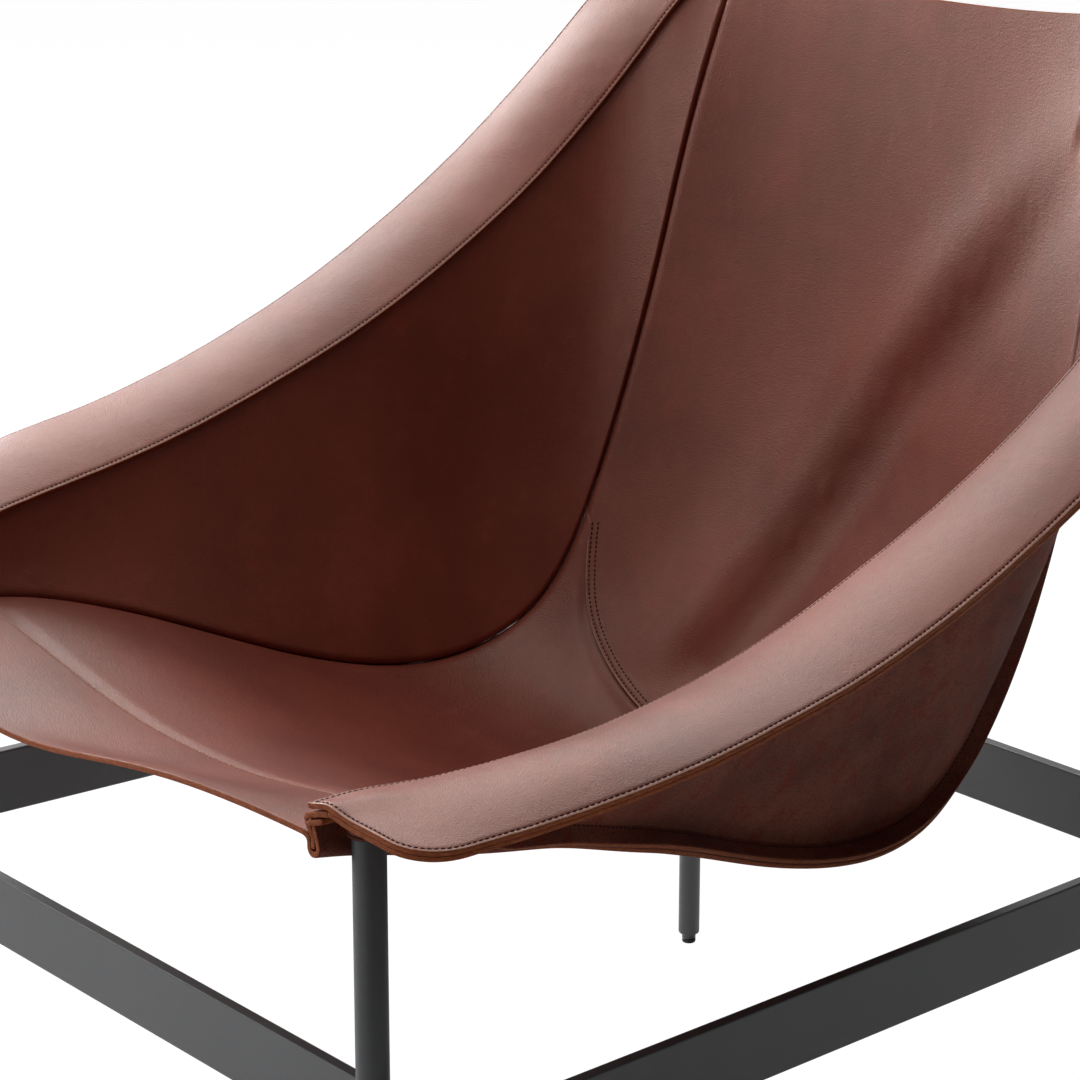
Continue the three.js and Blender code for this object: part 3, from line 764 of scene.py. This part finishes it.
def middle_grid(places, bend, wraps):
    """The middle sheet's face from edge to edge, and its columns' shares. bend gives how far
    each row is shifted along the sling at each share, and wraps adds the rolled margins."""
    shares = np.linspace(1, -1, 110)
    parts = []
    for side in (1, -1):
        at = places + bend(places, np.full_like(places, side))
        point, lip = seam(at), lip_direction(at)
        fold_in = fold / np.linalg.norm(point - keel(at), axis=1)
        start = cross_point(at, 1 - fold_in)
        rolled = rolled_share(at) if wraps else 0 * at
        fold_down = (fold - 0.001 * rolled)[:, None]
        reach = (lip_reach(at) + (roll_reach - lip_reach(at)) * rolled)[:, None]
        turned_down = point + lip * fold_down
        share = np.linspace(0, 1, 10, endpoint=False)[:, None, None]
        bent = turned_down * (1 - share) ** 2 + point * 2 * share * (1 - share)
        bent = (bent + start * share ** 2).transpose(1, 0, 2)
        share = np.linspace(0, 1, 7, endpoint=False)[None, :, None]
        end = point + lip * reach
        straight = end[:, None] + (turned_down - end)[:, None] * share
        part = np.concatenate([straight, bent], 1)
        if wraps:
            out = np.cross(seam.along(at), lip)
            out = unit(out * np.sign(out[:, :1]))
            centre = end + out * roll_radius
            angle = np.linspace(0, math.pi, 12, endpoint=False)[None, :, None]
            roll = centre[:, None] + roll_radius * (
                out[:, None] * np.cos(angle) + lip[:, None] * np.sin(angle)
            )
            wall = wall_grid(at)
            over_wall = (wall - sheet_normals(wall) * (leather + 3 * gap))[:, wall_outer_face]
            last = over_wall[:, -1:]
            share = np.linspace(0, 1, 5, endpoint=False)[None, 1:, None]
            bridge = last + (roll[:, :1] - last) * share
            part = np.concatenate([over_wall, bridge, roll, part], 1)
        parts.append(part)
    at = places[:, None] + bend(places[:, None], shares[None, :])
    widest = 1 - fold / np.linalg.norm(seam(places) - keel(places), axis=1)
    inner = cross_point(at, shares[None, :] * widest[:, None])
    grid = np.concatenate([parts[0], inner, parts[1][:, ::-1] * (-1, 1, 1)], 1)
    side_columns = np.ones(parts[0].shape[1])
    return grid, np.concatenate([side_columns, shares, -side_columns])


def from_row(grid, row, near_distance):
    """Each point's distance from a cut end row, to the line itself while it is close."""
    start, step = grid[row, :-1], np.diff(grid[row], axis=0)
    close = near_distance[:, 0] < 0.03
    offset = grid[close][:, :, None] - start
    share = np.clip(np.einsum("rcsx,sx->rcs", offset, step) / (step ** 2).sum(-1), 0, 1)
    distance = np.linalg.norm(offset - step * share[..., None], axis=-1).min(-1)
    result = np.broadcast_to(near_distance, grid.shape[:2]).copy()
    result[close] = distance
    return result


def back_fold(grid):
    """A soft fold that runs up the back from low on one side to high on the other, with its
    crest towards the far side and its hollow towards the near side."""
    line = np.linspace(0, 1, 90)
    knots = np.linspace(0, 1, len(back_fold_line))
    places, shares = (np.interp(line, knots, c) for c in back_fold_line.T)
    ridge = cross_point(places, shares)
    offset = grid[:, :, None] - ridge
    distance = np.linalg.norm(offset, axis=-1)
    nearest = distance.argmin(-1)
    across = distance.min(-1) / fold_width * np.sign(ridge[nearest, 0] - grid[..., 0])
    strength = soft_step(line, 0, 0.15) * (1 - 0.8 * soft_step(line, 0.6, 1))
    return across * np.exp(0.5 - 0.5 * across ** 2) * strength[nearest]


def middle_panel(name, cad_name, start, end):
    """One panel of the middle sheet between two places on the keel. Returns the piece, its
    face's grid, its back and each point's distance from the left edge."""
    places = rows_between(start, end, keel, 20)

    def bend(at, shares):
        to_front = 1 - soft_step(at, front_lap_edge, front_lap_edge + 1.6)
        to_front = to_front * soft_step(at, 0.2, front_lap_edge)
        to_lumbar = 1 - soft_step(np.abs(at - lumbar_lap_edge), 0.3, 1.8)
        return front_bend(shares) * to_front + lumbar_bend(shares) * to_lumbar

    grid, shares = middle_grid(places, bend, cad_name == "front_panel")
    from_left, from_right = edge_distances(grid)
    to_start = from_row(grid, 0, (places - start)[:, None] * keel.speed(start))
    to_finish = from_row(grid, -1, (end - places)[:, None] * keel.speed(end))
    from_cut = np.minimum(np.minimum(from_left, from_right), np.minimum(to_start, to_finish))
    # The front lap's edge and the lumbar lap's edge take the pale skived finish with its painted
    # highlight. The other cut edges keep the cut colour.
    if cad_name == "front_panel":
        shape, pale = 0.4 * groove(to_finish, lap_row), to_finish
    elif cad_name == "back_panel":
        pale = to_start
        shape = groove(to_start, lap_row) + groove(to_start, lap_row + lap_rows_apart)
        shape = shape + fold_height * back_fold(grid)
    else:
        pale = None
        front_past = (places - front_lap_edge) * keel.speed(front_lap_edge)
        lumbar_past = (lumbar_lap_edge - places) * keel.speed(lumbar_lap_edge)
        down = 1 - soft_step(np.minimum(front_past, lumbar_past), 0.001, sink_run)
        shape = -lap_sink * down[:, None] * (1 - 0.9 * soft_step(np.abs(shares), 0.88, 0.985))
    piece, back = cut_sheet(name, grid, from_cut, -1, gap / 2, shape, pale)
    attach(piece, "root")
    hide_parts(cad_name)
    return piece, grid, back, from_left


lap_at_front = lap_width / keel.speed(front_lap_edge)
lap_at_lumbar = lap_width / keel.speed(lumbar_lap_edge)
front_sheet = middle_panel("front_edge_panel", "front_panel", 0, front_lap_edge)
seat_sheet = middle_panel("seat_sheet", "seat_panel", front_lap_edge - lap_at_front,
                          lumbar_lap_edge + lap_at_lumbar)
back_sheet = middle_panel("back_sheet", "back_panel", lumbar_lap_edge, last_place)

# Pockets: a sleeve of the same leather, flesh side out, closed by a dome and sewn under each
# band's end. It slips over the capped top of a tube and carries that corner of the sling.
for kind, cad_name in tube_kinds:
    for side in ("left", "right"):
        low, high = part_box(f"{cad_name}_pocket_{side}")
        x, y, radius, tube_top = tube_places[kind, side]
        skirt = tube_top + 0.0012 if kind == "leg" else low.z
        outer = (high.x - low.x) / 2
        inner = radius + gap
        dome = high.z - outer
        hem = (outer - inner) / 2
        pocket = turned(f"{kind}_sleeve_{side}", [
            (0, dome + inner),
            *rounded(inner, 0, dome, 80, 0, 8),
            *rounded(hem, inner + hem, skirt + hem, -180, 0, 8),
            *rounded(outer, 0, dome, 0, 80, 10),
            (0, high.z),
        ], (x, y), flesh_leather)
        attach(pocket, "root")
        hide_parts(f"{cad_name}_pocket_{side}")

# Thread: dark brown bonded thread, in lockstitches of 3.4 mm that lie in shallow grooves. Rows
# run round each band, along each lip and across both laps. The front lap's row is painted pale,
# a painted highlight for the light that row catches.
stitch_pitch = 0.0034
lip_row = 0.0115
thread_finishes = []
for name, dark, light in (
    ("waxed thread", (46, 22, 17), (78, 42, 32)),
    # The second thread is pale. It is a painted highlight for the light the front lap's row
    # catches.
    ("pale thread with painted highlight", (150, 104, 84), (196, 156, 134)),
):
    thread_finish, here, place = new_finish(name)
    twist = here.noise(place, 1500, 2)
    close_finish(here, {
        "Base Color": twist.ramp(0.35, 0.7).blend((*srgb(*dark), 1), (*srgb(*light), 1)),
        "Roughness": twist * 0.2 + 0.75,
        "Specular IOR Level": 0.15,
    })
    thread_finishes.append(thread_finish)

stitch_row = bpy.data.node_groups.new("stitch row", "GeometryNodeTree")
for label, kind, direction in (
    ("Line", "NodeSocketGeometry", "INPUT"),
    ("Pitch", "NodeSocketFloat", "INPUT"),
    ("Stitch", "NodeSocketFloat", "INPUT"),
    ("Thickness", "NodeSocketFloat", "INPUT"),
    ("Finish", "NodeSocketMaterial", "INPUT"),
    ("Thread", "NodeSocketGeometry", "OUTPUT"),
):
    stitch_row.interface.new_socket(label, in_out=direction, socket_type=kind)
here = Link(stitch_row)
given = {
    label: here.node("NodeGroupInput", {}, {}, label)
    for label in ("Line", "Pitch", "Stitch", "Thickness", "Finish")
}


def stitch_point(length_share, height_share):
    """A point of the stitch's arc, in shares of its length and of the thread's thickness."""
    sockets = {"X": given["Stitch"] * length_share, "Z": given["Thickness"] * height_share}
    return here.node("ShaderNodeCombineXYZ", {}, sockets)


arc = here.node("GeometryNodeCurvePrimitiveBezierSegment", {"mode": "POSITION"}, {
    "Resolution": 6,
    "Start": stitch_point(-0.5, -0.7),
    "Start Handle": stitch_point(-0.4, 0.45),
    "End Handle": stitch_point(0.4, 0.45),
    "End": stitch_point(0.5, -0.7),
})
strand = here.node("GeometryNodeCurvePrimitiveCircle", {"mode": "RADIUS"}, {
    "Resolution": 6, "Radius": given["Thickness"] * 0.5,
})
stitch = here.node("GeometryNodeCurveToMesh", {}, {
    "Curve": arc, "Profile Curve": strand, "Fill Caps": True,
})
line = here.node("GeometryNodeMeshToCurve", {}, {"Mesh": given["Line"]})
holes = here.node("GeometryNodeResampleCurve", {"mode": "LENGTH"}, {
    "Curve": line, "Length": given["Pitch"],
})
out_of_face = here.node("GeometryNodeInputNamedAttribute", {"data_type": "FLOAT_VECTOR"}, {
    "Name": "out of the face",
})
turn_to_line = here.node("FunctionNodeAxesToRotation", {
    "primary_axis": "Z", "secondary_axis": "X",
}, {
    "Primary Axis": out_of_face,
    "Secondary Axis": here.node("GeometryNodeInputTangent", {}, {}),
})
sewn = here.node("GeometryNodeInstanceOnPoints", {}, {
    "Points": holes, "Instance": stitch, "Rotation": turn_to_line,
})
sewn = here.node("GeometryNodeRealizeInstances", {}, {"Geometry": sewn})
sewn = here.node("GeometryNodeSetShadeSmooth", {}, {"Geometry": sewn})
sewn = here.node("GeometryNodeSetMaterial", {}, {"Geometry": sewn, "Material": given["Finish"]})
here.node("NodeGroupOutput", {}, {"Thread": sewn})


def sew(name, lines, stitch_length, thickness, finish=thread_finishes[0]):
    """Stitches along lines of points, which are dropped onto the faces of their pieces."""
    points, ups, edges = [], [], []
    for piece, line in lines:
        face = BVHTree.FromPolygons(
            [v.co for v in piece.data.vertices], [p.vertices for p in piece.data.polygons]
        )
        start = len(points)
        for point in line:
            place, normal, _, _ = face.find_nearest(point)
            points.append(place)
            ups.append(normal)
        edges += [(i, i + 1) for i in range(start, len(points) - 1)]
    mesh = bpy.data.meshes.new(name)
    mesh.from_pydata(points, edges, [])
    stored = mesh.attributes.new("out of the face", "FLOAT_VECTOR", "POINT")
    stored.data.foreach_set("vector", np.array(ups).ravel())
    thread = bpy.data.objects.new(name, mesh)
    bpy.context.scene.collection.objects.link(thread)
    rows = thread.modifiers.new("stitches", "NODES")
    rows.node_group = stitch_row
    sizes = {
        "Pitch": stitch_pitch, "Stitch": stitch_length, "Thickness": thickness, "Finish": finish,
    }
    for socket in stitch_row.interface.items_tree:
        if socket.name in sizes:
            rows[socket.identifier] = sizes[socket.name]
    evaluated = thread.evaluated_get(bpy.context.evaluated_depsgraph_get())
    sewn_mesh = bpy.data.meshes.new_from_object(evaluated)
    thread.modifiers.remove(rows)
    thread.data = sewn_mesh
    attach(thread, "root")


def along_band(distance):
    """The line at a distance from the band's cut end and outer edges, round both corners."""
    arc = np.linspace(0, math.pi / 2, 12)
    middle = corner_radius - (corner_radius - distance) * np.cos(arc)
    side = corner_radius - (corner_radius - distance) * np.sin(arc)
    run = np.linspace(0, last_place, 260)
    run = run[(end_distance(run) > corner_radius + 0.002)]
    front_places, rear_places = middle / edge.speed(0), last_place - middle / edge.speed(last_place)
    front_place, rear_place = front_places[0], rear_places[0]
    widths = band_widths(np.array([front_place, rear_place]))
    ends = [np.linspace(inner_row, w - corner_radius - 0.002, 24) for w in widths]
    places = np.concatenate([
        np.full(24, front_place), front_places, run, rear_places[::-1], np.full(24, rear_place),
    ])
    across = np.concatenate([
        ends[0],
        band_widths(front_places) - side,
        band_widths(run) - distance,
        (band_widths(rear_places) - side)[::-1],
        ends[1][::-1],
    ])
    return places, across


def across_lap(grid, row, distance):
    """The line at a distance from a middle panel's cut end row."""
    end = grid[row]
    along = unit(np.gradient(end, axis=0))
    inward = unit(grid[4 if row == 0 else -5] - end)
    inward = unit(inward - along * np.einsum("ij,ij->i", inward, along)[:, None])
    return end + inward * distance


def along_lip(surface, distance_from_edge, distance):
    """The line on a sheet's surface at a distance from its side edge, row by row."""
    line = []
    for points, distances in zip(surface, distance_from_edge):
        order = np.argsort(distances)
        line.append([np.interp(distance, distances[order], c[order]) for c in points.T])
    return np.array(line)


outer_line = along_band(outer_row)
inner_places = np.linspace(0, last_place, 260)
inner_places = inner_places[(end_distance(inner_places) > outer_row)]
clear_of_ends, clear_of_lips, clear_of_front_rolls = slice(6, -6), slice(17, -17), slice(34, -34)
for side, turn in both_sides:
    band = bpy.data.objects[f"band_{side}"]
    lining = bpy.data.objects[f"band_lining_sheet_{side}"]
    top_line = band_point(*outer_line)[0] * (turn, 1, 1)
    inner_line = band_point(inner_places, inner_row)[0] * (turn, 1, 1)
    on_lining = outer_line[1] > seam_margin + 0.004
    low_line = band_point(outer_line[0][on_lining], outer_line[1][on_lining], 2 * leather + 0.001)
    low_line = low_line[0] * (turn, 1, 1)
    lines = [(band, top_line), (band, inner_line), (lining, low_line)]
    sew(f"band_thread_{side}", lines, 0.0023, 0.0010)

    wall, wall_back = walls[side]
    lines = [(wall, along_lip(wall_back, from_lip, lip_row)[clear_of_ends])]
    for piece, _, back, from_left in (seat_sheet, back_sheet):
        mirrored = back if side == "left" else back[:, ::-1]
        lines.append((piece, along_lip(mirrored, from_left, lip_row)[clear_of_ends]))
    sew(f"lip_thread_{side}", lines, 0.0023, 0.0009)

front_piece, front_grid = front_sheet[:2]
front_row = (front_piece, across_lap(front_grid, -1, lap_row)[clear_of_front_rolls])
# The front lap's row takes the pale thread, with its highlight painted in.
sew("front_seam_thread", [front_row], 0.0020, 0.0011, thread_finishes[1])
back_piece, back_grid = back_sheet[:2]
lumbar_rows = [
    (back_piece, across_lap(back_grid, 0, row)[clear_of_lips])
    for row in (lap_row, lap_row + lap_rows_apart)
]
sew("lumbar_seam_thread", lumbar_rows, 0.0016, 0.0012)

# Studio: a white floor and backdrop that read as plain white, with a faint shadow under the
# chair. Large soft boxes stand round it, the stronger ones on its far side. They are named as
# seen from in front of the chair, so their left is -X.
floor_material, here, place = new_finish("studio floor")
camera_ray = here.node("ShaderNodeLightPath", {}, {}, "Is Camera Ray")
pale = here.node("ShaderNodeBsdfDiffuse", {}, {"Color": (0.8, 0.8, 0.8, 1)})
white = here.node("ShaderNodeEmission", {}, {"Color": (1, 1, 1, 1), "Strength": 1.06})
sweep = here.node("ShaderNodeMixShader", {}, {0: camera_ray * 0.93, 1: pale, 2: white})
here.node("ShaderNodeOutputMaterial", {}, {"Surface": sweep})
floor = new_piece("floor", [(-6, -6, 0), (6, -6, 0), (6, 6, 0), (-6, 6, 0)], [(0, 1, 2, 3)],
                  [floor_material])

world = bpy.data.worlds.new("studio")
bpy.context.scene.world = world
world.use_nodes = True
world.node_tree.nodes.clear()
here = Link(world.node_tree)
seen = here.node("ShaderNodeLightPath", {}, {}, "Is Camera Ray")
mirrored = here.node("ShaderNodeLightPath", {}, {}, "Is Glossy Ray")
strength = seen * 0.98 + mirrored * 0.02 + 0.02
backdrop = here.node("ShaderNodeBackground", {}, {"Color": (1, 1, 1, 1), "Strength": strength})
here.node("ShaderNodeOutputWorld", {}, {"Surface": backdrop})


def soft_box(name, where, aim, size, watts):
    light = bpy.data.lights.new(name, "AREA")
    light.shape = "RECTANGLE"
    light.size, light.size_y = size
    light.energy = watts
    lamp = bpy.data.objects.new(name, light)
    lamp.location = where
    direction = np.array(aim) - np.array(where)
    yaw = math.atan2(direction[0], -direction[1])
    pitch = math.atan2(math.hypot(direction[0], direction[1]), -direction[2])
    lamp.rotation_euler = (pitch, 0, yaw + math.pi)
    bpy.context.scene.collection.objects.link(lamp)


soft_box("overhead", (-0.3, -0.2, 3.2), (0, 0, 0.4), (2.4, 2.4), 36)
soft_box("back left", (-2.1, 2.3, 3.0), (0, 0, 0.45), (3.6, 1.8), 76)
soft_box("left, half high", (-2.35, 1.5, 2.1), (0.3, -0.1, 0.45), (1.8, 1.2), 7)
soft_box("left", (-3.2, 0.2, 2.8), (0, 0, 0.45), (2.2, 1.8), 46)
soft_box("left, low", (-3.8, 0.0, 1.2), (0, 0, 0.45), (2.2, 1.4), 136)
soft_box("front left", (-2.2, -2.6, 2.6), (0, 0, 0.45), (2.2, 1.8), 44)
soft_box("front left, low", (-2.6, -3.0, 0.9), (0, 0, 0.4), (2.4, 1.4), 16)
soft_box("front", (0.3, -3.8, 1.2), (0, 0, 0.3), (2.4, 1.4), 9)
soft_box("right", (3.6, 0.4, 1.8), (0, 0, 0.4), (2.4, 1.8), 3)

view_settings = bpy.context.scene.view_settings
view_settings.view_transform = "Standard"
